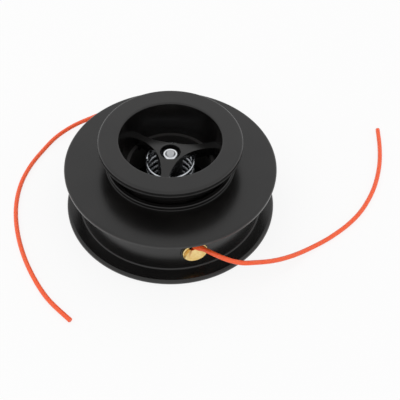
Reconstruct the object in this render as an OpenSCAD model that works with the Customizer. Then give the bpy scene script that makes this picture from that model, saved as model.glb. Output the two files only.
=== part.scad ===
// Bump-feed trimmer head, lying on its machine side with the tap knob up.
// Origin: on the axis, in the plane that the machine-side flange stands on.

/* [Flanges] */
// Diameter of the machine-side flange
lower_flange_d = 111.4; // [109:0.2:116]
// Thickness of the machine-side flange at its rim
lower_flange_t = 3.3; // [3.2:0.1:4]
// Diameter of the ground-side flange
upper_flange_d = 110; // [108:0.2:115]
// Thickness of the ground-side flange at its bead
upper_flange_t = 3.1; // [2.9:0.1:3.6]
// Thickness of the cover's plate inside the bead
cover_t = 2.4; // [2:0.1:2.6]

/* [Barrel] */
// Outer diameter of the barrel between the flanges
barrel_d = 96; // [95:0.5:98]
// Wall of the barrel
barrel_wall = 2.6; // [2.2:0.1:3]
// Height of the barrel's top edge above the standing plane
barrel_h = 27.9; // [27.5:0.1:32]
// Depth of the recess in the machine side
recess_h = 2; // [1.5:0.1:2.4]
// Thickness of the housing's floor
floor_t = 2.2; // [2:0.1:2.8]

/* [Tap knob] */
// Diameter of the knob's lip
knob_d = 73.8; // [72:0.2:78]
// Height of the knob above the cover's plate
knob_rise = 17.2; // [16.5:0.1:20]
// Height of the knob's lip
lip_h = 4; // [3:0.1:5]
// Outer diameter of the knob's neck
neck_d = 60.4; // [59:0.2:62]
// Diameter of the cup's mouth
cup_mouth_d = 52; // [50:0.5:53]
// Diameter of the cup's bottom
cup_bottom_d = 46; // [45:0.5:47]
// Travel of the knob when it is tapped
tap_travel = 4.5; // [3.5:0.5:5]

/* [Spider] */
// Depth of the spider's hub below the knob's top
hub_depth = 9.8; // [9:0.1:10.5]
// Distance from the axis to each of the spider's round windows
web_r = 6.7; // [6.6:0.05:7]
// Radius of the spider's round windows
window_r = 29.3; // [27:0.1:31]
// Thickness of the spider's web
web_t = 2.8; // [2.2:0.1:3.4]
// Fall of the web for each millimetre outwards
web_fall = 0.175; // [0.12:0.005:0.2]
// Width of the rib under each arm
rib_w = 2.2; // [1.6:0.1:3]
// Diameter of the counterbore for the nut
counterbore_d = 10.6; // [10.2:0.1:11]

/* [Arbor] */
// Tapping bore of the machine's thread
thread_bore_d = 8.7; // [8:0.1:9.5]
// Hexagon of the arbor's foot, across flats
arbor_hex = 16; // [15:0.1:16.4]
// Height of the arbor's foot
arbor_foot_h = 9.9; // [9:0.1:11]
// Diameter of the spindle
spindle_d = 8; // [7:0.1:8.4]
// Diameter of the thread that takes the nut
stud_d = 5; // [4.6:0.1:5.2]
// Nut across flats
nut_af = 8; // [7.6:0.1:8.2]
// Height of the nut
nut_h = 4; // [3.5:0.1:4.2]

/* [Spring] */
// Mean diameter of the spring
spring_d = 24.1; // [24:0.1:25]
// Wire of the spring
wire_d = 1.7; // [1.4:0.1:1.8]
// Number of turns of the spring
spring_turns = 7.5; // [6:0.5:8.5]

/* [Line] */
// Diameter of the nylon line
line_d = 2.4; // [2:0.1:2.4]
// Diameter of the spool's drum
drum_d = 46.6; // [46:0.2:48]
// Diameter of the wound line
winding_d = 75; // [60:1:80]
// Diameter of the spool's flanges
spool_d = 85; // [83:0.5:85.4]

/* [Eyelets] */
// Diameter of an eyelet's flange
eyelet_d = 12.9; // [12:0.1:13.5]
// Bore of an eyelet
eyelet_bore_d = 4.2; // [3.8:0.1:4.4]
// Direction of the front eyelet, in degrees from +X
eyelet_az = -75.5; // [-90:0.5:-60]

/* [Hidden] */
$fn = 96;
over = 1; // how far a cutter runs past what it cuts
slide_fit = 0.05; // radial clearance of the turning fits
seat_fit = 0.05; // radial clearance of a piece in its seat
run_gap = 0.5; // clearance between pieces that move past each other

// Housing
barrel_r = barrel_d / 2;
barrel_in_r = barrel_r - barrel_wall;
floor_z = recess_h + floor_t;
stand_in_r = barrel_in_r - 1.4;
boss_z = 0.6;
foot_top_z = boss_z + arbor_foot_h;
boss_web_t = 1.5;
boss_top_z = foot_top_z + boss_web_t;
boss_r = (spring_d - wire_d) / 2 - 0.3;
rib_count = 8;

// Cover
ceiling_z = barrel_h + upper_flange_t - cover_t;
cover_top_z = barrel_h + upper_flange_t;
collar_in_r = neck_d / 2 + 0.8;
collar_out_r = collar_in_r + 2.3;
collar_h = 2.2;
bead_w = 3;
skirt_out_r = barrel_in_r - 0.15;
skirt_in_r = skirt_out_r - 1.85;
skirt_h = 2.7;
latch_az = [165, 345];
latch_half = 5;
latch_h = 3.2;
latch_drop = 8.2;
latch_top_z = barrel_h - latch_drop;
latch_reach = 1.8;

// Knob
knob_top_z = cover_top_z + knob_rise;
lip_r = knob_d / 2;
neck_r = neck_d / 2;
hub_top_z = knob_top_z - hub_depth;
arms = [20, 140, 260];
hub_r = web_r - 0.15;
counterbore_h = 6.2;
nut_floor_z = hub_top_z - counterbore_h;
hub_web_t = 1.7;
bush_top_z = nut_floor_z - hub_web_t;
spring_drop = 5;
spring_top_z = hub_top_z - spring_drop;
cup_bottom_z = ceiling_z + 0.7;
cup_wall = 2.6;
neck_in_r = neck_r - 2.2;
web_flat_r = counterbore_d / 2 + 0.4;
web_edge_r = cup_bottom_d / 2 + 1;
web_edge_z = hub_top_z - web_fall * (web_edge_r - web_flat_r);
spring_in_r = (spring_d - wire_d) / 2;
spring_out_r = (spring_d + wire_d) / 2;

// Arbor and what it holds
washer_t = 0.6;
clip_t = 0.8;
clip_top_z = boss_top_z + washer_t + clip_t;
hub_foot_z = clip_top_z + tap_travel + run_gap;
pilot_d = spindle_d - 2;
bush_out_d = spindle_d + 3;
spindle_top_z = bush_top_z - tap_travel - 0.3;
retainer_t = 0.8;
nut_z = nut_floor_z + retainer_t;
stud_top_z = nut_z + nut_h + 0.5;

// Spool
dog_count = 6;
dog_h = 2.2;
dog_half = 5;
dog_in_r = 34;
dog_out_r = 40;
stop_gap = 0.4;
drum_r = drum_d / 2;
drum_wall = 2;
spool_r = spool_d / 2;
flange_t = 1.4;
divider_t = 1.2;
dog_foot_z = floor_z + run_gap + tap_travel;
spool_foot_z = dog_foot_z + dog_h;
spool_top_z = ceiling_z - stop_gap - dog_h;
chamber_h = (spool_top_z - spool_foot_z - 2 * flange_t - divider_t) / 2;
lower_chamber_z = spool_foot_z + flange_t;
upper_chamber_z = lower_chamber_z + chamber_h + divider_t;
lower_stop_h = 2;
upper_stop_h = dog_h + stop_gap - run_gap;

// Spring
seat_t = 0.8;
seat_top_z = floor_z + seat_t;
spring_sides = 8;
spring_steps = 20;
closed_turns = 0.75;

// Eyelets
eyelet_z = (lower_flange_t + barrel_h) / 2 + 0.3;
eyelet_r = eyelet_d / 2;
eyelet_seat = barrel_r + 0.05;
eyelet_rim_t = 1.15;
eyelet_step = barrel_r - 1.5;
eyelet_in = barrel_in_r - 0.5;
eyelet_end = eyelet_in - 1.3;
eyelet_body_r = eyelet_r - 0.85;
eyelet_neck_r = eyelet_bore_d / 2 + 1.9;
funnel_r = eyelet_r - 0.55;
ring_r = eyelet_neck_r + 2;
ring_t = 0.8;
pad_r = eyelet_r + 0.75;

// Routes of the two line ends, from inside their eyelets to their cut ends on the ground
line_front_route = [[10.9, -42, 16], [11.8, -43.8, 16.3], [13.7, -45.5, 17.2], [16.4, -47, 18.2],
    [20.5, -49.6, 18.4], [25, -51.6, 17.7], [30, -52.8, 16.5], [35.5, -52.9, 15], [42, -51, 12.8],
    [49, -48.3, 10.1], [56, -44.6, 7.2], [64, -39.5, 4.2], [73, -33.3, 1.9], [83, -26.6, 1.2],
    [93, -18.6, 1.2], [101.5, -9.6, 1.2], [108.5, 1, 1.2], [114, 12.4, 1.2], [118.5, 26.4, 1.2],
    [121.1, 40.6, 1.2], [122.4, 54.7, 1.2]];
line_back_route = [[-10.9, 42, 16], [-11.7, 44.2, 16.2], [-12.9, 46.2, 16.7], [-15.2, 49.2, 17.2],
    [-18.6, 53.3, 16.8], [-23.5, 57.4, 15.2], [-30, 60.2, 12.6], [-38, 60.8, 9.4], [-47, 58.9, 6.4],
    [-57, 55.2, 3.8], [-66.5, 47.8, 1.9], [-73.5, 37, 1.2], [-79.3, 24.6, 1.2], [-82.8, 11, 1.2],
    [-83.4, -4, 1.2], [-81.2, -19, 1.2], [-76.6, -34.3, 1.2], [-69.8, -49.3, 1.2],
    [-60.3, -64.2, 1.2], [-48, -76.7, 1.2]];

// Rectangle from one corner to the other, with round corners
module round_rect(low, high, r) {
    translate([low.x + r, low.y]) square([high.x - low.x - 2 * r, high.y - low.y]);
    translate([low.x, low.y + r]) square([high.x - low.x, high.y - low.y - 2 * r]);
    for (x = [low.x + r, high.x - r], y = [low.y + r, high.y - r])
        translate([x, y]) circle(r);
}

// Rectangle of a section, from one corner to the other
module section(low, high) {
    translate(low) square(high - low);
}

// Plain ring
module ring(out_r, in_r, low_z, high_z) {
    difference() {
        translate([0, 0, low_z]) cylinder(r = out_r, h = high_z - low_z);
        translate([0, 0, low_z - over]) cylinder(r = in_r, h = high_z - low_z + 2 * over);
    }
}

// Block of a ring, centred on one direction
module ring_block(in_r, out_r, low_z, high_z, az, half) {
    rotate([0, 0, az - half]) rotate_extrude(angle = 2 * half)
        section([in_r, low_z], [out_r, high_z]);
}

// What is drawn along +Z is laid outwards through an eyelet's centre
module at_eyelet(turn) {
    rotate([0, 0, eyelet_az + turn]) translate([0, 0, eyelet_z]) rotate([0, 90, 0]) children();
}

// Hexagonal prism by its width across flats
module hexagon(flats, low_z, high_z) {
    translate([0, 0, low_z]) cylinder(d = flats / cos(30), h = high_z - low_z, $fn = 6);
}

// Smooth curve through points, with one ring between each two of them
function curve_at(p, i, t) =
    let (a = p[max(i - 1, 0)], b = p[i], c = p[min(i + 1, len(p) - 1)], d = p[min(i + 2, len(p) - 1)])
    0.5 * (2 * b + (c - a) * t + (2 * a - 5 * b + 4 * c - d) * t * t + (3 * b - a - 3 * c + d) * t * t * t);
function smooth_route(p) = concat(
    [for (i = [0:len(p) - 2], t = [0, 0.5])
        let (q = curve_at(p, i, t)) [q.x, q.y, max(q.z, line_d / 2)]],
    [p[len(p) - 1]]);
function unit(v) = v / norm(v);
function along(p, i) = unit(p[min(i + 1, len(p) - 1)] - p[max(i - 1, 0)]);

// Round bar swept along points, with flat ends
module sweep(p, r, sides) {
    points = [for (i = [0:len(p) - 1])
        let (t = along(p, i), side = unit(cross([0, 0, 1], t)), up = cross(t, side))
        for (k = [0:sides - 1]) let (a = 360 * (k + 0.5) / sides)
            p[i] + r * (cos(a) * side + sin(a) * up)];
    walls = [for (i = [0:len(p) - 2], k = [0:sides - 1], half = [0, 1])
        let (a = i * sides + k, b = i * sides + (k + 1) % sides)
        half == 0 ? [b + sides, b, a] : [a + sides, b + sides, a]];
    first = [for (k = [0:sides - 1]) k];
    last = [for (k = [0:sides - 1]) len(p) * sides - 1 - k];
    polyhedron(points, concat([first], walls, [last]));
}

module housing() {
    color("#262422") difference() {
        union() {
            rotate_extrude() {
                round_rect([stand_in_r, 0], [lower_flange_d / 2, lower_flange_t], 1.5);
                section([stand_in_r, 0], [barrel_r, recess_h + 0.2]);
                section([0, recess_h], [barrel_r, floor_z]);
                section([barrel_in_r, recess_h], [barrel_r, barrel_h]);
                section([0, boss_z], [boss_r, boss_top_z]);
                difference() {
                    section([barrel_r - 0.2, lower_flange_t - 0.2], [barrel_r + 1, lower_flange_t + 1]);
                    translate([barrel_r + 1, lower_flange_t + 1]) circle(1);
                }
            }
            for (i = [0:rib_count - 1]) rotate([0, 0, (i + 0.5) * 360 / rib_count])
                translate([boss_r - 1, -0.9, 0.8])
                    cube([stand_in_r - boss_r + 2, 1.8, recess_h - 0.6]);
            for (i = [0:dog_count - 1])
                ring_block(dog_in_r, dog_out_r, floor_z - 0.2, floor_z + lower_stop_h,
                    i * 360 / dog_count, dog_half);
            for (turn = [0, 180]) at_eyelet(turn) {
                translate([0, 0, eyelet_in]) cylinder(r = ring_r + 0.2, h = 1.5);
                translate([0, 0, barrel_r - 1.5]) cylinder(r = pad_r, h = eyelet_seat - barrel_r + 1.5);
            }
        }
        hexagon(arbor_hex + 2 * seat_fit, boss_z - over, foot_top_z);
        translate([0, 0, boss_z]) cylinder(r = spindle_d / 2 + 2 + seat_fit, h = boss_top_z + over);
        for (turn = [0, 180]) at_eyelet(turn) {
            translate([0, 0, eyelet_in - over])
                cylinder(r = eyelet_neck_r + seat_fit, h = barrel_wall + 2 * over);
            translate([0, 0, eyelet_step - seat_fit])
                cylinder(r = eyelet_body_r + seat_fit, h = barrel_wall + over);
        }
        for (az = latch_az)
            ring_block(barrel_in_r - over, barrel_r + over, latch_top_z - latch_h - 0.3, latch_top_z,
                az, latch_half + 0.5);
    }
}

module cover() {
    color("#262422") union() {
        rotate_extrude() {
            round_rect([upper_flange_d / 2 - bead_w, barrel_h], [upper_flange_d / 2, cover_top_z], 1.2);
            section([collar_in_r, ceiling_z], [(upper_flange_d - bead_w) / 2, cover_top_z]);
            section([skirt_in_r, barrel_h], [barrel_r + 0.6, ceiling_z + 0.1]);
            section([skirt_in_r, barrel_h - skirt_h], [skirt_out_r, ceiling_z + 0.1]);
            section([collar_in_r, ceiling_z], [collar_out_r, cover_top_z + collar_h - 0.6]);
            round_rect([collar_in_r, cover_top_z], [collar_out_r, cover_top_z + collar_h], 0.6);
        }
        for (i = [0:dog_count - 1])
            ring_block(dog_in_r, dog_out_r, ceiling_z - upper_stop_h, ceiling_z + 0.2,
                (i + 0.5) * 360 / dog_count, dog_half);
        for (az = latch_az) {
            ring_block(skirt_in_r + 0.2, skirt_out_r - 0.2, latch_top_z - latch_h, barrel_h - 1,
                az, latch_half);
            ring_block(skirt_out_r - 0.4, skirt_out_r + latch_reach, latch_top_z - latch_h + 0.2,
                latch_top_z, az, latch_half - 1);
        }
    }
}

// Section of the sloping web between the hub and the cup's wall
module web_section() {
    polygon([[0, hub_top_z], [web_flat_r, hub_top_z], [web_edge_r, web_edge_z],
        [web_edge_r, web_edge_z - web_t], [web_flat_r, hub_top_z - web_t], [0, hub_top_z - web_t]]);
}

module spider() {
    difference() {
        rotate_extrude() web_section();
        for (az = arms) rotate([0, 0, az + 60])
            translate([web_r + window_r, 0, bush_top_z])
                cylinder(r = window_r, h = hub_top_z - bush_top_z + over);
    }
    for (az = arms) rotate([0, 0, az]) {
        // locates the spring from inside
        translate([hub_r - 0.5, -rib_w / 2, spring_top_z - 1.8])
            cube([spring_in_r - 0.3 - hub_r + 0.5, rib_w, hub_top_z - web_t - spring_top_z + 1.8]);
        // bears on the spring's top turn
        translate([hub_r, -rib_w / 2, spring_top_z])
            cube([spring_out_r + 1.4 - hub_r, rib_w, web_edge_z - 0.4 - spring_top_z]);
        // carries the arm out to the cup's wall
        translate([spring_out_r + 1, -rib_w / 2, cup_bottom_z + 0.2])
            cube([web_edge_r - spring_out_r - 1, rib_w, web_edge_z - 0.6 - cup_bottom_z]);
        // drives the spool through a slot in its drum
        translate([drum_r - drum_wall - 0.6, -rib_w / 2, spool_top_z + 0.8])
            cube([drum_wall + 1.4, rib_w, cup_bottom_z - spool_top_z]);
    }
}

module knob() {
    bottom_r = cup_bottom_d / 2;
    mouth_r = cup_mouth_d / 2;
    groove_in = bottom_r + cup_wall;
    color("#262422") difference() {
        union() {
            difference() {
                rotate_extrude() {
                    round_rect([neck_in_r, knob_top_z - lip_h], [lip_r - 0.25, knob_top_z], 1.2);
                    round_rect([neck_in_r, knob_top_z - lip_h], [lip_r, knob_top_z - lip_h + 1.3], 0.6);
                    section([bottom_r - 0.5, spool_top_z], [neck_r, knob_top_z - lip_h + 0.5]);
                    section([bottom_r - 0.5, knob_top_z - lip_h], [neck_r, knob_top_z]);
                    difference() {
                        section([neck_r - 0.2, knob_top_z - lip_h - 1.5],
                            [neck_r + 1.5, knob_top_z - lip_h + 0.2]);
                        translate([neck_r + 1.5, knob_top_z - lip_h - 1.5]) circle(1.5);
                    }
                }
                // cup, its seat on the drum, its round mouth and the core-out under it
                rotate_extrude() {
                    polygon([[0, cup_bottom_z], [bottom_r, cup_bottom_z], [mouth_r, knob_top_z - 1],
                        [mouth_r, knob_top_z + over], [0, knob_top_z + over]]);
                    section([0, spool_top_z - over], [drum_r + 0.1, cup_bottom_z + 0.05]);
                    section([groove_in, spool_top_z - over], [neck_in_r, knob_top_z - lip_h - 2]);
                    difference() {
                        section([mouth_r - 0.2, knob_top_z - 1], [mouth_r + 1, knob_top_z + 0.2]);
                        translate([mouth_r + 1, knob_top_z - 1]) circle(1);
                    }
                }
            }
            spider();
            translate([0, 0, hub_foot_z]) cylinder(r = hub_r, h = hub_top_z - hub_foot_z - 1);
        }
        translate([0, 0, nut_floor_z]) cylinder(d = counterbore_d, h = hub_top_z);
        translate([0, 0, hub_foot_z - over])
            cylinder(d = bush_out_d, h = bush_top_z - hub_foot_z + over);
        translate([0, 0, bush_top_z - over]) cylinder(d = pilot_d + 2 * slide_fit, h = hub_web_t + 2 * over);
    }
}

module hub_bush() {
    color("#b08d57")
        ring(bush_out_d / 2, spindle_d / 2 + slide_fit, hub_foot_z + 0.2, bush_top_z);
}

module spool() {
    color("#3a3836") difference() {
        union() {
            rotate_extrude() {
                section([drum_r - drum_wall, spool_foot_z], [drum_r, cup_bottom_z]);
                section([drum_r - 1, spool_foot_z], [spool_r, spool_foot_z + flange_t]);
                section([drum_r - 1, lower_chamber_z + chamber_h], [spool_r - 1.5, upper_chamber_z]);
                section([drum_r - 1, spool_top_z - flange_t], [spool_r, spool_top_z]);
            }
            for (i = [0:dog_count - 1]) {
                ring_block(dog_in_r, dog_out_r, spool_top_z - 0.2, spool_top_z + dog_h,
                    i * 360 / dog_count, dog_half);
                ring_block(dog_in_r, dog_out_r, dog_foot_z, spool_foot_z + 0.2,
                    i * 360 / dog_count, dog_half);
            }
        }
        // slots for the knob's ribs
        for (az = arms) rotate([0, 0, az])
            translate([drum_r - drum_wall - over, -rib_w / 2 - 0.1, spool_top_z + 0.6])
                cube([drum_wall + 2 * over, rib_w + 0.2, cup_bottom_z - spool_top_z + over]);
        // notches that hold the line's end while the spool is loaded
        for (az = [30, 210]) rotate([0, 0, az])
            translate([spool_r, 0, spool_foot_z - over])
                cylinder(r = line_d * 0.6, h = spool_top_z - spool_foot_z + 2 * over);
    }
}

// Line wound in one chamber of the spool
module winding(low_z) {
    rows = floor(chamber_h / line_d);
    start_z = low_z + (chamber_h - rows * line_d) / 2;
    color("#ff5a2d") rotate_extrude() difference() {
        union() {
            section([drum_r + 0.05, start_z + 0.3], [winding_d / 2 - line_d / 2, start_z + rows * line_d - 0.3]);
            for (i = [0:rows - 1])
                translate([winding_d / 2 - line_d / 2, start_z + (i + 0.5) * line_d]) circle(d = line_d);
        }
        section([0, start_z - over], [drum_r + 0.05, start_z + rows * line_d + over]);
    }
}

module arbor() {
    color("silver") difference() {
        union() {
            hexagon(arbor_hex, boss_z, foot_top_z);
            translate([0, 0, boss_z]) cylinder(r = spindle_d / 2 + 2, h = boss_top_z - boss_z);
            translate([0, 0, boss_z]) cylinder(d = spindle_d, h = spindle_top_z - boss_z);
            translate([0, 0, boss_z]) cylinder(d = pilot_d, h = nut_floor_z - boss_z);
            translate([0, 0, boss_z]) cylinder(d = stud_d, h = stud_top_z - 0.5 - boss_z);
            translate([0, 0, stud_top_z - 0.5]) cylinder(d1 = stud_d, d2 = stud_d - 1, h = 0.5, $fn = 48);
        }
        translate([0, 0, boss_z - over]) cylinder(d = thread_bore_d, h = boss_top_z - boss_z - 0.4 + over);
        ring(spindle_d / 2 + 1, spindle_d / 2 - 0.5, boss_top_z + washer_t, clip_top_z);
    }
}

module arbor_washer() {
    color("silver") ring(boss_r - 1, spindle_d / 2 + seat_fit, boss_top_z, boss_top_z + washer_t);
}

module circlip() {
    color("#8a8d90") difference() {
        ring(spindle_d / 2 + 1.6, spindle_d / 2 - 0.5 + seat_fit, boss_top_z + washer_t, clip_top_z);
        translate([0, -2, boss_top_z]) cube([boss_r, 4, clip_t + 2]);
    }
}

module retaining_washer() {
    color("silver") ring(counterbore_d / 2 - 0.3, stud_d / 2 + seat_fit, nut_floor_z, nut_z);
}

module lock_nut() {
    color("#d9dbdd") difference() {
        intersection() {
            hexagon(nut_af, nut_z, nut_z + nut_h);
            translate([0, 0, nut_z]) rotate_extrude()
                polygon([[0, 0], [nut_af / 2 - 0.3, 0], [nut_af / 2 + 0.9, 0.7],
                    [nut_af / 2 + 0.9, nut_h - 0.7], [nut_af / 2 - 0.55, nut_h], [0, nut_h]]);
        }
        translate([0, 0, nut_z - over]) cylinder(r = stud_d / 2 + seat_fit, h = nut_h + 2 * over);
    }
}

module spring_seat() {
    color("silver") ring(spring_d / 2 + wire_d, boss_r + 0.1, floor_z, seat_top_z);
}

// Compression spring: its closed end turns rise by one wire, the free ones share what is left
module spring() {
    low = seat_top_z + wire_d / 2;
    high = spring_top_z - wire_d / 2;
    closed_rise = closed_turns * wire_d * 1.05;
    free_turns = spring_turns - 2 * closed_turns;
    function rise(turn) =
        turn < closed_turns ? turn * wire_d * 1.05 :
        turn > spring_turns - closed_turns ? high - low - (spring_turns - turn) * wire_d * 1.05 :
        closed_rise + (turn - closed_turns) * (high - low - 2 * closed_rise) / free_turns;
    steps = spring_turns * spring_steps;
    path = [for (i = [0:steps]) let (turn = i / spring_steps, a = 360 * turn)
        [spring_d / 2 * cos(a), spring_d / 2 * sin(a), low + rise(turn)]];
    color("#b9bdc2") sweep(path, wire_d / 2 - 0.01, spring_sides);
}

// Trumpet eyelet: a funnel for the line, a rim on the barrel and a neck through its wall
module eyelet(turn) {
    color("#d8b56a") at_eyelet(turn) rotate_extrude() difference() {
        union() {
            section([0, eyelet_end], [eyelet_neck_r, eyelet_step + 0.5]);
            section([0, eyelet_step], [eyelet_body_r, eyelet_seat + 0.5]);
            section([0, eyelet_seat], [eyelet_r - 0.5, eyelet_seat + eyelet_rim_t]);
            round_rect([eyelet_r - 2, eyelet_seat], [eyelet_r, eyelet_seat + eyelet_rim_t], 0.5);
        }
        section([0, eyelet_end - over], [eyelet_bore_d / 2, eyelet_seat + 2]);
        polygon([[0, eyelet_seat + eyelet_rim_t - funnel_r], [funnel_r, eyelet_seat + eyelet_rim_t],
            [funnel_r, eyelet_seat + 3], [0, eyelet_seat + 3]]);
    }
}

module eyelet_ring(turn) {
    color("#8a8d90") at_eyelet(turn)
        ring(ring_r, eyelet_neck_r + 0.02, eyelet_in - ring_t, eyelet_in);
}

module line_end(route) {
    color("#ff5a2d") sweep(smooth_route(route), line_d / 2, 8);
}

housing();
cover();
knob();
hub_bush();
spool();
winding(lower_chamber_z);  // winding_lower
winding(upper_chamber_z);  // winding_upper
arbor();
arbor_washer();
circlip();
retaining_washer();
lock_nut();
spring_seat();
spring();
eyelet(0);  // eyelet_front
eyelet(180);  // eyelet_back
eyelet_ring(0);  // eyelet_ring_front
eyelet_ring(180);  // eyelet_ring_back
line_end(line_front_route);  // line_front
line_end(line_back_route);  // line_back
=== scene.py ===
import math

import bpy
import numpy as np
from mathutils import Matrix, Vector


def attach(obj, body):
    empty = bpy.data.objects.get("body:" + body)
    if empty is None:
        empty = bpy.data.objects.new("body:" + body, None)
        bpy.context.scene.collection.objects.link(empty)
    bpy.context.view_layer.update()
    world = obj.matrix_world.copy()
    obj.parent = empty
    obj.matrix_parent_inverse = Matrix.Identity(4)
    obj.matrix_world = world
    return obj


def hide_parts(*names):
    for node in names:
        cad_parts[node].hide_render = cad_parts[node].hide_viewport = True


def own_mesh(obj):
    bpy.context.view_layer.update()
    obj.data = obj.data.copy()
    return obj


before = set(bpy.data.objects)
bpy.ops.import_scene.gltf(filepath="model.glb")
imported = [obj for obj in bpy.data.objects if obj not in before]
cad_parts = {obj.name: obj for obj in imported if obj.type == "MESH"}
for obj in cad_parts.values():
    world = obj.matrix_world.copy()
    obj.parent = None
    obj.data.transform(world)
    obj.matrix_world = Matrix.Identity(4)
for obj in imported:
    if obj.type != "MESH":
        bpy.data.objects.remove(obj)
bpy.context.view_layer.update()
mm = 0.001
scene = bpy.context.scene
scene.view_settings.view_transform = "Standard"
print("frame loaded,", len(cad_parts), "nodes")


# Camera: it looks at a point on the axis from the front, so height above the floor and distance are all it needs
photoCamera = {"aim": (0.0, 0.0, 0.029), "distance": 0.423, "elevation": 46.6, "lens": 73.25,
               "shift": (0.0741, -0.089)}


def addCamera(s):
    data = bpy.data.cameras.new("photoCamera")
    data.sensor_width, data.lens = 36.0, s["lens"]
    data.shift_x, data.shift_y = s["shift"]
    data.clip_start, data.clip_end = 0.01, 50.0
    camera = bpy.data.objects.new("photoCamera", data)
    scene.collection.objects.link(camera)
    tilt = math.radians(s["elevation"])
    back = Vector((0.0, -math.cos(tilt), math.sin(tilt)))
    camera.location = Vector(s["aim"]) + back * s["distance"]
    camera.rotation_euler = back.to_track_quat("Z", "Y").to_euler()
    scene.camera = camera


addCamera(photoCamera)


# Mesh making: every new piece is one or more grids of points in millimetres
def gridFaces(rows, columns, wrapRows=False, wrapColumns=True):
    # quads between neighbouring points of a grid; a wrapped side joins its last points to its first
    row = np.arange(rows if wrapRows else rows - 1)[:, None]
    column = np.arange(columns if wrapColumns else columns - 1)[None, :]
    nextRow, nextColumn = (row + 1) % rows, (column + 1) % columns
    quads = [row * columns + column, row * columns + nextColumn,
             nextRow * columns + nextColumn, nextRow * columns + column]
    return np.stack(np.broadcast_arrays(*quads), -1).reshape(-1, 4)


def addPiece(name, parts, material, body, replaced=(), uv=None):
    # parts are (points in mm, list of face arrays); they become one mesh at the origin
    points, faces, offset = [], [], 0
    for partPoints, partFaces in parts:
        flat = np.asarray(partPoints, float).reshape(-1, 3)
        points.append(flat)
        faces += [list(face) for group in partFaces for face in (np.asarray(group) + offset).tolist()]
        offset += len(flat)
    mesh = bpy.data.meshes.new(name)
    mesh.from_pydata(np.concatenate(points) * mm, [], faces)
    mesh.polygons.foreach_set("use_smooth", np.ones(len(mesh.polygons), bool))
    if uv is not None:
        corner = np.zeros(len(mesh.loops), np.int32)
        mesh.loops.foreach_get("vertex_index", corner)
        layer = mesh.uv_layers.new(name="surface")
        layer.data.foreach_set("uv", uv.reshape(-1, 2)[corner].astype(np.float32).ravel())
    mesh.validate()
    piece = bpy.data.objects.new(name, mesh)
    scene.collection.objects.link(piece)
    mesh.materials.append(material)
    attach(piece, body)
    if replaced:
        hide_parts(*replaced)
    return piece


def roundedOutline(corners, support=0.12, stepAngle=12.0):
    # closed outline in (radius, height); each corner (radius, height, rounding) becomes an arc
    # arc = centre + rounding * direction turned evenly from one side's normal to the next side's
    # short support steps beside each arc keep the flats between them flat when shaded
    points = np.array([c[:2] for c in corners], float)
    before, after = points - np.roll(points, 1, 0), np.roll(points, -1, 0) - points
    before /= np.linalg.norm(before, axis=1)[:, None]
    after /= np.linalg.norm(after, axis=1)[:, None]
    turn = np.arctan2(before[:, 0] * after[:, 1] - before[:, 1] * after[:, 0], (before * after).sum(1))
    outline = []
    for p, d, e, a, r in zip(points, before, after, turn, [c[2] for c in corners]):
        reach = r * math.tan(abs(a) / 2)
        start = p - d * reach
        centre = start + math.copysign(r, a) * np.array([-d[1], d[0]])
        angle = np.linspace(0, a, max(2, math.ceil(abs(math.degrees(a)) / stepAngle)) + 1)
        spoke = start - centre
        arc = centre + np.stack([spoke[0] * np.cos(angle) - spoke[1] * np.sin(angle),
                                 spoke[0] * np.sin(angle) + spoke[1] * np.cos(angle)], -1)
        outline += [[start - d * support], arc, [arc[-1] + e * support]]
    return np.concatenate(outline)


def turned(outline, azimuths):
    # point = (radius * cos azimuth, radius * sin azimuth, height) for each outline point and azimuth in degrees
    a = np.radians(azimuths)[None, :]
    r, z = outline[:, 0][:, None], outline[:, 1][:, None]
    return np.stack([r * np.cos(a), r * np.sin(a), z + 0 * a], -1)


def turnedPart(corners, columns=240, **rounding):
    outline = roundedOutline(corners, **rounding)
    azimuths = np.arange(columns) * 360 / columns
    return turned(outline, azimuths), [gridFaces(len(outline), columns, wrapRows=True)]


def ringBlock(inner, outer, low, high, azimuth, half, edge=0.2):
    # part of a ring, centred on one direction, with both ends closed
    outline = roundedOutline([(outer, low, edge), (outer, high, edge), (inner, high, edge), (inner, low, edge)])
    azimuths = np.linspace(azimuth - half, azimuth + half, 9)
    n, m = len(outline), len(azimuths)
    ends = [np.arange(n)[None, :] * m, np.arange(n)[None, ::-1] * m + m - 1]
    return turned(outline, azimuths), [gridFaces(n, m, wrapRows=True, wrapColumns=False), *ends]


def smoothRoute(points, steps, floor):
    # Catmull-Rom curve: each stretch blends four neighbouring points by cubic weights of t
    p = np.array(points, float)
    p = np.concatenate([p[:1], p, p[-1:]])
    t = np.arange(steps)[None, :, None] / steps
    a, b, c, d = (p[i:len(p) - 3 + i][:, None, :] for i in range(4))
    curve = 0.5 * (2 * b + (c - a) * t + (2 * a - 5 * b + 4 * c - d) * t ** 2
                   + (3 * b - a - 3 * c + d) * t ** 3)
    curve = np.concatenate([curve.reshape(-1, 3), p[-1:]])
    curve[:, 2] = np.maximum(curve[:, 2], floor)
    return curve


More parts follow.
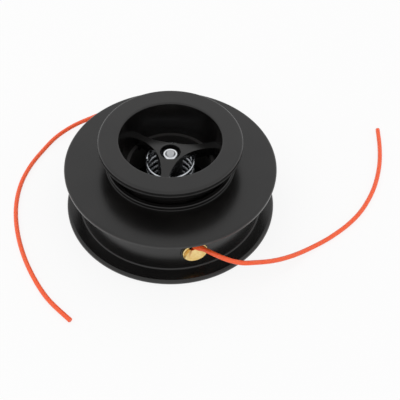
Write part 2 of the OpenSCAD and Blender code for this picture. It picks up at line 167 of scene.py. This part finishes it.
def sweptRound(path, radius, sides, capRings=4):
    # circle carried along a path: point = path + radius * (cos a * side + sin a * up)
    # side is level and square to the path, and up is square to both; the ends close on a point
    tangent = np.gradient(path, axis=0)
    tangent /= np.linalg.norm(tangent, axis=1)[:, None]
    side = np.cross([0.0, 0.0, 1.0], tangent)
    side /= np.linalg.norm(side, axis=1)[:, None]
    up = np.cross(tangent, side)
    a = np.arange(sides) * 2 * math.pi / sides
    around = np.cos(a)[None, :, None] * side[:, None] + np.sin(a)[None, :, None] * up[:, None]
    rings = path[:, None] + radius * around
    edge = np.array([1.0, 0.97, 0.9, 0.75, 0.001])[:, None, None]
    inset = np.array([0.0, 0.55, 0.85, 1.0, 1.0])[:, None, None] * 0.08 * radius
    first = path[0] + (rings[0] - path[0]) * edge[::-1] - tangent[0] * inset[::-1]
    last = path[-1] + (rings[-1] - path[-1]) * edge + tangent[-1] * inset
    return np.concatenate([first, rings[1:-1], last])


# Materials
def hexColour(code):
    # sRGB hex to linear: c / 12.92 in the dark, otherwise ((c + 0.055) / 1.055) ** 2.4
    parts = [int(code[i:i + 2], 16) / 255 for i in (1, 3, 5)]
    return [c / 12.92 if c <= 0.04045 else ((c + 0.055) / 1.055) ** 2.4 for c in parts] + [1.0]


def addNode(tree, kind, settings=None, links=None):
    # adds a node; a link's value is a socket to join or a constant to set
    made = tree.nodes.new(kind)
    for key, value in (settings or {}).items():
        setattr(made, key, value)
    for key, value in (links or {}).items():
        if isinstance(value, bpy.types.NodeSocket):
            tree.links.new(value, made.inputs[key])
        else:
            made.inputs[key].default_value = value
    return made


def newMaterial(name):
    material = bpy.data.materials.new(name)
    material.use_nodes = True
    tree = material.node_tree
    tree.nodes.clear()
    out = addNode(tree, "ShaderNodeOutputMaterial")
    shader = addNode(tree, "ShaderNodeBsdfPrincipled")
    tree.links.new(shader.outputs[0], out.inputs["Surface"])
    return material, tree, shader


def noise(tree, coords, scale, detail=2.0, stretch=None):
    if stretch is not None:
        coords = addNode(tree, "ShaderNodeMapping", None, {"Vector": coords, "Scale": stretch}).outputs[0]
    return addNode(tree, "ShaderNodeTexNoise", None, {"Vector": coords, "Scale": scale, "Detail": detail})


def ramp(tree, value, stops):
    made = addNode(tree, "ShaderNodeValToRGB", None, {"Fac": value})
    for i, (place, colour) in enumerate(stops):
        stop = made.color_ramp.elements[i] if i < 2 else made.color_ramp.elements.new(place)
        stop.position, stop.color = place, colour
    return made


def mapRange(tree, value, low, high):
    return addNode(tree, "ShaderNodeMapRange", None, {"Value": value, "To Min": low, "To Max": high}).outputs[0]


def bump(tree, height, distance, strength=1.0, normal=None):
    links = {"Height": height, "Distance": distance, "Strength": strength}
    if normal is not None:
        links["Normal"] = normal
    return addNode(tree, "ShaderNodeBump", None, links).outputs[0]


# Black glass-filled nylon from a polished mould: it mirrors its surroundings softly, with a faint orange-peel
nylonLook = {"dark": "#0b0a0a", "light": "#131211", "roughLow": 0.2, "roughHigh": 0.3, "ior": 1.5,
             "peel": 420.0, "peelDepth": 0.0000035, "cloud": 60.0}


def mouldedNylon():
    s = nylonLook
    material, tree, shader = newMaterial("mouldedBlackNylon")
    coords = addNode(tree, "ShaderNodeTexCoord").outputs["Object"]
    cloud = noise(tree, coords, s["cloud"], 3.0).outputs["Fac"]
    peel = noise(tree, coords, s["peel"], 2.0).outputs["Fac"]
    colour = ramp(tree, cloud, [(0.35, hexColour(s["dark"])), (0.7, hexColour(s["light"]))]).outputs[0]
    tree.links.new(colour, shader.inputs["Base Color"])
    tree.links.new(mapRange(tree, cloud, s["roughLow"], s["roughHigh"]), shader.inputs["Roughness"])
    tree.links.new(bump(tree, peel, s["peelDepth"]), shader.inputs["Normal"])
    shader.inputs["IOR"].default_value = s["ior"]
    return material


# Spool nylon from a spark-eroded mould: duller and greyer than the outside
def spoolNylon():
    material, tree, shader = newMaterial("erodedSpoolNylon")
    coords = addNode(tree, "ShaderNodeTexCoord").outputs["Object"]
    grain = noise(tree, coords, 2600.0, 2.0).outputs["Fac"]
    colour = ramp(tree, grain, [(0.3, hexColour("#1c1b1a")), (0.75, hexColour("#2a2827"))]).outputs[0]
    tree.links.new(colour, shader.inputs["Base Color"])
    tree.links.new(mapRange(tree, grain, 0.45, 0.6), shader.inputs["Roughness"])
    tree.links.new(bump(tree, grain, 0.00002, 0.6), shader.inputs["Normal"])
    return material


# Orange nylon line, extruded and drawn: slightly milky, with faint draw marks along it
lineLook = {"deep": "#f4521f", "pale": "#ff6e38", "radius": 1.2, "stretch": (14.0, 9.0, 1.0)}


def drawnNylon():
    s = lineLook
    material, tree, shader = newMaterial("drawnOrangeNylon")
    uv = addNode(tree, "ShaderNodeUVMap", {"uv_map": "surface"}).outputs[0]
    streak = noise(tree, uv, 1.0, 3.0, s["stretch"]).outputs["Fac"]
    colour = ramp(tree, streak, [(0.3, hexColour(s["deep"])), (0.75, hexColour(s["pale"]))]).outputs[0]
    tree.links.new(colour, shader.inputs["Base Color"])
    tree.links.new(mapRange(tree, streak, 0.28, 0.42), shader.inputs["Roughness"])
    tree.links.new(bump(tree, streak, 0.00003, 0.5), shader.inputs["Normal"])
    shader.inputs["IOR"].default_value = 1.53
    shader.inputs["Subsurface Weight"].default_value = 0.35
    shader.inputs["Subsurface Radius"].default_value = (1.0, 0.35, 0.12)
    shader.inputs["Subsurface Scale"].default_value = 0.0012
    return material


# Turned metals: fine rings round the axis of turning, worked out as the distance from that axis
def turnedMetal(name, base, roughLow, roughHigh, pitch, depth, centre=(0, 0, 0), turn=(0, 0, 0), scuff="#ffffff"):
    material, tree, shader = newMaterial(name)
    coords = addNode(tree, "ShaderNodeTexCoord").outputs["Object"]
    placed = addNode(tree, "ShaderNodeMapping", {"vector_type": "TEXTURE"},
                     {"Vector": coords, "Location": centre, "Rotation": turn}).outputs[0]
    rings = addNode(tree, "ShaderNodeTexWave", {"wave_type": "RINGS", "rings_direction": "Z"},
                    {"Vector": placed, "Scale": 0.314 / pitch, "Distortion": 1.5, "Detail": 2.0,
                     "Detail Scale": 2.0}).outputs["Fac"]
    spots = noise(tree, coords, 300.0, 3.0).outputs["Fac"]
    colour = ramp(tree, spots, [(0.3, hexColour(base)), (0.8, hexColour(scuff))]).outputs[0]
    tree.links.new(colour, shader.inputs["Base Color"])
    tree.links.new(mapRange(tree, spots, roughLow, roughHigh), shader.inputs["Roughness"])
    tree.links.new(bump(tree, rings, depth, 0.6), shader.inputs["Normal"])
    shader.inputs["Metallic"].default_value = 1.0
    return material


blackNylon, greyNylon, orangeNylon = mouldedNylon(), spoolNylon(), drawnNylon()
brightZinc = turnedMetal("brightZincPlate", "#d3d6da", 0.16, 0.3, 0.0004, 0.000004, scuff="#e6e8ea")
turnedSteel = turnedMetal("turnedSteel", "#a6a8ab", 0.25, 0.4, 0.0003, 0.000005, scuff="#c0c2c4")
drawnWire = turnedMetal("zincPlatedWire", "#b9bdc2", 0.2, 0.34, 0.0005, 0.000002, scuff="#d9dce0")
sinteredBronze = turnedMetal("sinteredBronze", "#a97c48", 0.35, 0.5, 0.0006, 0.000004, scuff="#b88a55")
print("materials made")


# Line ends: the route's points are the centre of the line, from just inside the eyelet to its cut end
lineEnds = {
    "lineFront": {"node": "line_front", "route": [
        [10.9, -42, 16], [11.8, -43.8, 16.3], [13.7, -45.5, 17.2], [16.4, -47, 18.2], [20.5, -49.6, 18.4],
        [25, -51.6, 17.7], [30, -52.8, 16.5], [35.5, -52.9, 15], [42, -51, 12.8], [49, -48.3, 10.1],
        [56, -44.6, 7.2], [64, -39.5, 4.2], [73, -33.3, 1.9], [83, -26.6, 1.2], [93, -18.6, 1.2],
        [101.5, -9.6, 1.2], [108.5, 1, 1.2], [114, 12.4, 1.2], [118.5, 26.4, 1.2], [121.1, 40.6, 1.2],
        [122.4, 54.7, 1.2]]},
    "lineBack": {"node": "line_back", "route": [
        [-10.9, 42, 16], [-11.7, 44.2, 16.2], [-12.9, 46.2, 16.7], [-15.2, 49.2, 17.2], [-18.6, 53.3, 16.8],
        [-23.5, 57.4, 15.2], [-30, 60.2, 12.6], [-38, 60.8, 9.4], [-47, 58.9, 6.4], [-57, 55.2, 3.8],
        [-66.5, 47.8, 1.9], [-73.5, 37, 1.2], [-79.3, 24.6, 1.2], [-82.8, 11, 1.2], [-83.4, -4, 1.2],
        [-81.2, -19, 1.2], [-76.6, -34.3, 1.2], [-69.8, -49.3, 1.2], [-60.3, -64.2, 1.2], [-48, -76.7, 1.2]]}}
lineSize = {"diameter": 2.4, "sides": 20, "steps": 6}


def addLineEnds():
    s = lineSize
    for name, end in lineEnds.items():
        path = smoothRoute(end["route"], s["steps"], s["diameter"] / 2)
        step = np.linalg.norm(np.diff(path, axis=0), axis=1)
        along = np.concatenate([[0], np.cumsum(step)])
        rings = sweptRound(path, s["diameter"] / 2, s["sides"])
        extra = (len(rings) - len(path)) // 2
        length = np.concatenate([np.full(extra, along[0]), along, np.full(extra, along[-1])])
        uv = np.stack(np.broadcast_arrays(length[:, None] / 10, np.arange(s["sides"])[None, :] / s["sides"]), -1)
        n = len(rings)
        ends = [np.arange(s["sides"])[None, ::-1], np.arange(s["sides"])[None, :] + (n - 1) * s["sides"]]
        piece = addPiece(name, [(rings, [gridFaces(n, s["sides"])[:, ::-1], *ends])], orangeNylon, "housing",
                         [end["node"]], uv)
        print(name, "is", round(along[-1], 1), "mm long")


addLineEnds()


# Housing: flange, barrel, floor and boss are one closed outline turned round the axis, in one-degree columns,
# with the latch windows and the eyelet holes left out of the barrel's two walls and their edges closed
housingSize = {"flangeR": 55.7, "flangeT": 3.3, "flangeEdge": 1.5, "barrelR": 48.0, "wall": 2.6, "top": 27.9,
               "floorLow": 2.0, "floorHigh": 4.2, "standR": 44.0, "bossR": 10.9, "bossLow": 0.6, "bossTop": 12.0,
               "hexFlat": 8.05, "hexTop": 10.5, "neckR": 6.05, "ribs": 8, "columns": 360,
               "latches": (165, 345), "latchHalf": 5.5, "latchLow": 16.2, "latchHigh": 19.7,
               "holeR": 6.4, "stopIn": 34.0, "stopOut": 40.0, "stopHigh": 6.2}
eyeletPlace = {"azimuth": -75.5, "height": 15.9}


def hexRadius(flat, azimuths):
    # distance from the axis to a hexagon's side: half its flats over the cosine of the angle to the nearest flat
    nearest = (np.asarray(azimuths) % 60) - 30
    return flat / np.cos(np.radians(nearest))


def addHousing():
    s = housingSize
    inner = s["barrelR"] - s["wall"]
    outline = roundedOutline([
        (s["flangeR"], 0, s["flangeEdge"]), (s["flangeR"], s["flangeT"], s["flangeEdge"]),
        (s["barrelR"], s["flangeT"], 1.0), (s["barrelR"], s["top"], 0.2), (inner, s["top"], 0.2),
        (inner, s["floorHigh"], 0.5), (s["bossR"], s["floorHigh"], 0.5), (s["bossR"], s["bossTop"], 0.2),
        (s["neckR"], s["bossTop"], 0.2), (s["neckR"], s["hexTop"], 0.15), (s["hexFlat"], s["hexTop"], 0.15),
        (s["hexFlat"], s["bossLow"], 0.2), (s["bossR"], s["bossLow"], 0.4), (s["bossR"], s["floorLow"], 0.4),
        (s["standR"], s["floorLow"], 0.4), (s["standR"], 0, 0.3)])
    # even steps up the barrel, shared by its outer and inner wall, so that a hole's edges can be joined across
    levels = np.unique(np.round(np.concatenate([
        np.linspace(5.2, s["latchLow"], 15), np.linspace(s["latchLow"], s["latchHigh"], 6),
        np.linspace(s["latchHigh"], 27.2, 11)]), 6))
    outer = np.flatnonzero((abs(outline[:, 0] - s["barrelR"]) < 1e-6) & (outline[:, 1] < 10))[-1]
    innerEnd = np.flatnonzero((abs(outline[:, 0] - inner) < 1e-6) & (outline[:, 1] > 10))[-1]
    rising = np.stack([np.full(len(levels), s["barrelR"]), levels], -1)
    falling = np.stack([np.full(len(levels), inner), levels[::-1]], -1)
    outline = np.concatenate([outline[:outer + 1], rising, outline[outer + 1:innerEnd + 1], falling,
                              outline[innerEnd + 1:]])
    firstOut, firstIn = outer + 1, innerEnd + 1 + len(levels)
    azimuths = np.arange(s["columns"]) * 360.0 / s["columns"] + 0.5
    points = turned(outline, azimuths)
    hexed = (outline[:, 0] < s["bossR"] - 1.5) & (outline[:, 1] < s["hexTop"] + 0.01) & (outline[:, 0] > 7.5)
    grow = (hexRadius(s["hexFlat"], azimuths) / s["hexFlat"])[None, :, None]
    points[hexed, :, :2] *= grow
    quads = gridFaces(len(outline), s["columns"], wrapRows=True).reshape(len(outline), s["columns"], 4)
    # a cell is open where its middle lies in a latch window or inside an eyelet hole
    midLevel = (levels[1:] + levels[:-1])[:, None] / 2
    midAzimuth = (azimuths + 180.0 / s["columns"])[None, :]
    away = lambda a: (midAzimuth - a + 180) % 360 - 180
    open_ = np.zeros((len(levels) - 1, s["columns"]), bool)
    for a in s["latches"]:
        open_ |= (abs(away(a)) < s["latchHalf"]) & (midLevel > s["latchLow"]) & (midLevel < s["latchHigh"])
    for turn in (0, 180):
        across = s["barrelR"] * np.sin(np.radians(away(eyeletPlace["azimuth"] + turn)))
        near = abs(away(eyeletPlace["azimuth"] + turn)) < 20
        open_ |= near & (np.hypot(across, midLevel - eyeletPlace["height"]) < s["holeR"])
    keep = np.ones(quads.shape[:2], bool)
    rows = len(levels) - 1
    keep[firstOut:firstOut + rows] &= ~open_
    keep[firstIn:firstIn + rows] &= ~open_[::-1]
    c = s["columns"]
    outId = (firstOut + np.arange(len(levels)))[:, None] * c + np.arange(c)[None, :]
    inId = (firstIn + rows - np.arange(len(levels)))[:, None] * c + np.arange(c)[None, :]
    walls = []
    below = np.zeros_like(open_[:1])
    padded = np.concatenate([below, open_, below])
    lower = padded[1:] & ~padded[:-1]    # open cell above this level line, solid below
    upper = ~padded[1:] & padded[:-1]
    nextOut, nextIn = np.roll(outId, -1, 1), np.roll(inId, -1, 1)
    walls.append(np.stack([outId, nextOut, nextIn, inId], -1)[lower])
    walls.append(np.stack([outId, inId, nextIn, nextOut], -1)[upper])
    left = open_ & ~np.roll(open_, 1, 1)
    right = open_ & ~np.roll(open_, -1, 1)
    walls.append(np.stack([outId[:-1], inId[:-1], inId[1:], outId[1:]], -1)[left])
    walls.append(np.stack([nextOut[:-1], nextOut[1:], nextIn[1:], nextIn[:-1]], -1)[right])
    parts = [(points, [quads[keep], *walls])]
    for i in range(6):
        parts.append(ringBlock(s["stopIn"], s["stopOut"], s["floorHigh"] - 0.3, s["stopHigh"], i * 60, 5))
    for turn in (0, 180):
        parts.append(eyeletTurned([(7.2, 46.6, 0.2), (7.2, 48.05, 0.25), (5.66, 48.05, 0.1), (5.66, 46.6, 0.1)],
                                  turn, 72))
    # ribs under the floor: flat bars from the boss to the standing ring
    for i in range(s["ribs"]):
        parts.append(bar((s["bossR"] - 0.6, -0.9, 0.8), (s["standR"] + 0.6, 0.9, 2.3), (i + 0.5) * 360 / s["ribs"]))
    return addPiece("housingShell", parts, blackNylon, "housing", ["housing"])


def eyeletTurned(corners, turn, columns, **rounding):
    # an outline turned round the eyelet's own axis: its height becomes the distance from the head's axis
    local, faces = turnedPart(corners, columns, **rounding)
    a = math.radians(eyeletPlace["azimuth"] + turn)
    outwards, across, up = local[..., 2], local[..., 1], eyeletPlace["height"] - local[..., 0]
    return np.stack([outwards * math.cos(a) - across * math.sin(a),
                     outwards * math.sin(a) + across * math.cos(a), up], -1), faces


def bar(low, high, azimuth, edge=0.25):
    # straight bar along a direction: a rounded rectangle in (across, height), carried from end to end
    section = roundedOutline([(high[1], low[2], edge), (high[1], high[2], edge), (low[1], high[2], edge),
                              (low[1], low[2], edge)], support=0.05, stepAngle=30)
    along = np.array([low[0], high[0]])
    n = len(section)
    x = np.broadcast_to(along[None, :], (n, 2))
    y = np.broadcast_to(section[:, :1], (n, 2))
    z = np.broadcast_to(section[:, 1:], (n, 2))
    a = math.radians(azimuth)
    points = np.stack([x * math.cos(a) - y * math.sin(a), x * math.sin(a) + y * math.cos(a), z], -1)
    ends = [np.arange(n)[None, ::-1] * 2, np.arange(n)[None, :] * 2 + 1]
    return points, [gridFaces(n, 2, wrapRows=True, wrapColumns=False)[:, ::-1], *ends]


addHousing()
print("housing made")


# Cover: a beaded plate with a collar round the knob and a skirt inside the barrel
def addCover():
    parts = [turnedPart([
        (55.0, 27.9, 1.2), (55.0, 31.0, 1.2), (33.3, 31.0, 0.35), (33.3, 33.2, 0.6), (31.0, 33.2, 0.6),
        (31.0, 28.6, 0.3), (43.4, 28.6, 0.3), (43.4, 25.2, 0.2), (45.25, 25.2, 0.2), (45.25, 27.9, 0.15),
        (48.6, 27.9, 0.15), (48.6, 28.6, 0.15), (52.0, 28.6, 0.3), (52.0, 27.9, 0.5)], 300)]
    for i in range(6):
        parts.append(ringBlock(34.0, 40.0, 26.5, 28.8, 30 + i * 60, 5))
    for azimuth in housingSize["latches"]:
        parts.append(ringBlock(43.6, 45.05, 16.5, 26.9, azimuth, 5))
        parts.append(ringBlock(44.85, 47.05, 16.7, 19.7, azimuth, 4))
    return addPiece("coverPlate", parts, blackNylon, "housing", ["cover"])


addCover()
print("cover made")


# Knob: lip, neck and cup are one closed outline; the spider at the cup's bottom is a web with three round windows
spiderSize = {"arms": (20, 140, 260), "top": 38.4, "flatR": 5.7, "fall": 0.175, "thick": 2.8, "boreR": 5.3,
              "boreFloor": 32.2, "windowAt": 36.0, "windowR": 29.3, "joinR": 6.7, "endR": 24.7, "hubR": 6.55,
              "hubFoot": 18.4, "bushR": 5.5, "bushTop": 30.5, "pilotR": 3.05, "across": 24}


def addKnob():
    cup = turnedPart([
        (30.2, 26.0, 0.3), (30.2, 44.2, 1.5), (36.9, 44.2, 0.55), (36.9, 45.5, 0.35), (36.65, 45.5, 0.1),
        (36.65, 48.2, 1.2), (26.17, 48.2, 1.0), (23.0, 29.3, 0.15), (23.4, 29.3, 0.1), (23.4, 26.0, 0.15),
        (25.6, 26.0, 0.15), (25.6, 42.2, 0.5), (28.0, 42.2, 0.5), (28.0, 26.0, 0.15)], 300, support=0.08)
    return addPiece("knobCup", [cup], blackNylon, "tap_unit", ["knob"])


def addSpider():
    s = spiderSize
    # one closed outline (radius, height): counterbore, sloping web, its underside, hub, bush seat and pilot hole
    webTop = lambda r: s["top"] - s["fall"] * np.maximum(r - s["flatR"], 0)
    outR = np.concatenate([[s["boreR"], s["flatR"], s["joinR"]],
                           s["joinR"] + (s["endR"] - s["joinR"]) * np.linspace(0, 1, 40)[1:] ** 1.5])
    top = np.stack([outR, webTop(outR)], -1)
    backR = outR[:1:-1]
    under = np.stack([backR, webTop(backR) - s["thick"]], -1)
    hub = np.array([[s["hubR"], 35.5], [s["hubR"], 30.0], [s["hubR"], s["hubFoot"]], [s["bushR"], s["hubFoot"]],
                    [s["bushR"], 25.0], [s["bushR"], s["bushTop"]], [s["pilotR"], s["bushTop"]],
                    [s["pilotR"], s["boreFloor"]], [s["boreR"], s["boreFloor"]], [s["boreR"], 35.0]])
    outline = np.concatenate([top, under, hub])
    r = outline[:, 0]
    # a window's circle leaves each arm the angle 60 - acos((r2 + c2 - w2) / (2 r c)) on either side of its middle
    cosine = (r ** 2 + s["windowAt"] ** 2 - s["windowR"] ** 2) / (2 * r * s["windowAt"])
    half = np.where(r > s["joinR"] + 1e-9, 60 - np.degrees(np.arccos(np.clip(cosine, -1, 1))), 60.0)
    m = s["across"] + 1
    across = np.linspace(-1, 1, m)[None, :]
    parts = []
    for arm in s["arms"]:
        azimuth = np.radians(arm + across * half[:, None])
        points = np.stack([r[:, None] * np.cos(azimuth), r[:, None] * np.sin(azimuth),
                           np.broadcast_to(outline[:, 1:], azimuth.shape)], -1)
        faces = gridFaces(len(outline), m, wrapRows=True, wrapColumns=False)[:, ::-1]
        steps = np.arange(2, len(outR) - 1)
        upper = lambda k, c: k * m + c
        lowerRow = lambda k: len(outR) + (len(outR) - 1 - k)
        sides = []
        for c, flip in ((0, False), (m - 1, True)):
            quad = np.stack([upper(steps, c), upper(steps + 1, c), lowerRow(steps + 1) * m + c,
                             lowerRow(steps) * m + c], -1)
            sides.append(quad[:, ::-1] if flip else quad)
        # the outline's last step from the end of the web's top to its underside closes the arm's tip
        parts.append((points, [faces, *sides]))
        spring, hubWall = (11.1, 33.4), s["hubR"] - 0.4
        parts.append(bar((hubWall, -1.1, 31.6), (10.9, 1.1, 36.0), arm, 0.3))
        parts.append(bar((hubWall, -1.1, spring[1]), (14.3, 1.1, 34.6), arm, 0.3))
        parts.append(bar((13.9, -1.1, 29.5), (24.4, 1.1, 34.0), arm, 0.3))
        parts.append(bar((20.7, -1.1, 26.8), (23.8, 1.1, 30.2), arm, 0.3))
    piece = addPiece("knobSpider", parts, blackNylon, "tap_unit", ["knob"])
    weld = piece.modifiers.new("weld", "WELD")
    weld.merge_threshold = 0.00001
    edge = piece.modifiers.new("edge", "BEVEL")
    edge.width, edge.segments, edge.limit_method = 0.0003, 3, "ANGLE"
    edge.angle_limit, edge.harden_normals = math.radians(40), True
    return piece


addKnob()
addSpider()
print("knob made")


# Eyelets: turned brass trumpets, a funnel with a rolled rim, a step and a neck through the barrel
def addEyelets():
    for name, node, turn in (("eyeletFront", "eyelet_front", 0), ("eyeletBack", "eyelet_back", 180)):
        a = math.radians(eyeletPlace["azimuth"] + turn)
        brass = turnedMetal("turnedBrass" + name[6:], "#d9b56c", 0.14, 0.26, 0.00035, 0.000006,
                            (0, 0, eyeletPlace["height"] * mm), (0, math.pi / 2, a), scuff="#efd79c")
        part = eyeletTurned([(4.0, 43.6, 0.15), (4.0, 46.5, 0.1), (5.6, 46.5, 0.15), (5.6, 48.05, 0.1),
                             (6.45, 48.05, 0.3), (6.45, 49.2, 0.5), (5.9, 49.2, 0.2), (2.1, 45.4, 1.2),
                             (2.1, 43.6, 0.2)], turn, 96, support=0.05, stepAngle=8)
        addPiece(name, [part], brass, "housing", [node])


addEyelets()


# Nut: a hexagon whose corners are cut by cones, so each radius is the smaller of cone and hexagon
nutSize = {"flat": 4.0, "low": 33.0, "high": 37.0, "bore": 2.55}


def addNut():
    s = nutSize
    outline = roundedOutline([(s["bore"], s["low"], 0.1), (3.7, s["low"], 0.1), (4.9, s["low"] + 0.7, 0.2),
                              (4.9, s["high"] - 0.7, 0.2), (3.45, s["high"], 0.15), (s["bore"] + 0.1, s["high"], 0.1)],
                             support=0.05)
    extra = np.stack([np.full(24, 4.9), np.linspace(s["low"] + 0.9, s["high"] - 0.9, 24)], -1)
    outline = np.concatenate([outline, extra])
    outline = outline[np.argsort(np.arctan2(outline[:, 1] - 35.0, outline[:, 0] - 3.4))]
    azimuths = np.arange(180) * 2.0
    points = turned(outline, azimuths)
    limit = hexRadius(s["flat"], azimuths)[None, :]
    radius = np.hypot(points[..., 0], points[..., 1])
    points[..., :2] *= np.minimum(1, limit / radius)[..., None]
    return addPiece("lockNut", [(points, [gridFaces(len(outline), 180, wrapRows=True)])], brightZinc, "housing",
                    ["lock_nut"])


addNut()


# Spring: one closed turn at each end, the free turns share the rest
springSize = {"radius": 12.05, "wire": 1.66, "low": 5.85, "high": 32.55, "turns": 7.5, "closed": 0.75, "steps": 48}


def addSpring():
    s = springSize
    turn = np.linspace(0, s["turns"], int(s["turns"] * s["steps"]) + 1)
    rise = 1.7 * 1.05
    free = (s["high"] - s["low"] - 2 * s["closed"] * rise) / (s["turns"] - 2 * s["closed"])
    height = np.interp(turn, [0, s["closed"], s["turns"] - s["closed"], s["turns"]],
                       [0, s["closed"] * rise, s["high"] - s["low"] - s["closed"] * rise, s["high"] - s["low"]])
    a = 2 * math.pi * turn
    path = np.stack([s["radius"] * np.cos(a), s["radius"] * np.sin(a), s["low"] + height], -1)
    rings = sweptRound(path, s["wire"] / 2, 14)
    n = len(rings)
    ends = [np.arange(14)[None, ::-1], np.arange(14)[None, :] + (n - 1) * 14]
    piece = addPiece("springCoil", [(rings, [gridFaces(n, 14)[:, ::-1], *ends])], drawnWire, "spring_carrier",
                     ["spring"])
    print("spring's free turns rise by", round(free, 2), "mm")
    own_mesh(piece)


addSpring()

# CAD nodes whose shape is right keep it and get their material
finishes = {"spool": greyNylon, "winding_lower": orangeNylon, "winding_upper": orangeNylon,
            "arbor": turnedSteel, "arbor_washer": turnedSteel, "circlip": turnedSteel,
            "retaining_washer": brightZinc, "spring_seat": turnedSteel, "hub_bush": sinteredBronze,
            "eyelet_ring_front": turnedSteel, "eyelet_ring_back": turnedSteel}
for nodeName, finish in finishes.items():
    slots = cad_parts[nodeName].data.materials
    slots.clear()
    slots.append(finish)
print("finishes given")


# Stage: a white floor that still takes a soft shadow, white surroundings and one broad soft lamp
stageLook = {"floorSize": 6.0, "floorColour": "#f2f2f2", "whiteShare": 0.85, "worldLight": 0.9,
             "lampPower": 1.6, "lampSize": 0.9, "lampAt": (-0.5, -0.35, 1.1)}


def addStage():
    s = stageLook
    half = s["floorSize"] / 2
    mesh = bpy.data.meshes.new("studioFloor")
    mesh.from_pydata([(-half, -half, -0.0002), (half, -half, -0.0002), (half, half, -0.0002),
                      (-half, half, -0.0002)], [], [(0, 1, 2, 3)])
    floor = bpy.data.objects.new("studioFloor", mesh)
    scene.collection.objects.link(floor)
    material, tree, shader = newMaterial("paperFloor")
    out = next(n for n in tree.nodes if n.type == "OUTPUT_MATERIAL")
    shader.inputs["Base Color"].default_value = hexColour(s["floorColour"])
    shader.inputs["Roughness"].default_value = 1.0
    shader.inputs["Specular IOR Level"].default_value = 0.0
    rays = addNode(tree, "ShaderNodeLightPath")
    seen = addNode(tree, "ShaderNodeMath", {"operation": "MAXIMUM"},
                   {0: rays.outputs["Is Camera Ray"], 1: rays.outputs["Is Glossy Ray"]}).outputs[0]
    seen = addNode(tree, "ShaderNodeMath", {"operation": "MAXIMUM"},
                   {0: seen, 1: rays.outputs["Is Transmission Ray"]}).outputs[0]
    share = addNode(tree, "ShaderNodeMath", {"operation": "MULTIPLY"}, {0: seen, 1: s["whiteShare"]}).outputs[0]
    white = addNode(tree, "ShaderNodeEmission", None, {"Color": (1, 1, 1, 1), "Strength": 1.0}).outputs[0]
    mixed = addNode(tree, "ShaderNodeMixShader", None, {0: share, 1: shader.outputs[0], 2: white}).outputs[0]
    tree.links.new(mixed, out.inputs["Surface"])
    mesh.materials.append(material)
    world = bpy.data.worlds.new("whiteRoom")
    world.use_nodes = True
    scene.world = world
    tree = world.node_tree
    tree.nodes.clear()
    rays = addNode(tree, "ShaderNodeLightPath")
    seen = addNode(tree, "ShaderNodeMath", {"operation": "MAXIMUM"},
                   {0: rays.outputs["Is Camera Ray"], 1: rays.outputs["Is Glossy Ray"]}).outputs[0]
    seen = addNode(tree, "ShaderNodeMath", {"operation": "MAXIMUM"},
                   {0: seen, 1: rays.outputs["Is Transmission Ray"]}).outputs[0]
    strength = mapRange(tree, seen, s["worldLight"], 1.0)
    light = addNode(tree, "ShaderNodeBackground", None, {"Color": (1, 1, 1, 1), "Strength": strength}).outputs[0]
    addNode(tree, "ShaderNodeOutputWorld", None, {"Surface": light})
    lampData = bpy.data.lights.new("softLamp", "AREA")
    lampData.energy, lampData.size = s["lampPower"], s["lampSize"]
    lamp = bpy.data.objects.new("softLamp", lampData)
    scene.collection.objects.link(lamp)
    lamp.location = s["lampAt"]
    lamp.rotation_euler = Vector(s["lampAt"]).to_track_quat("Z", "Y").to_euler()
    lamp.visible_glossy = False


addStage()
print("stage set")
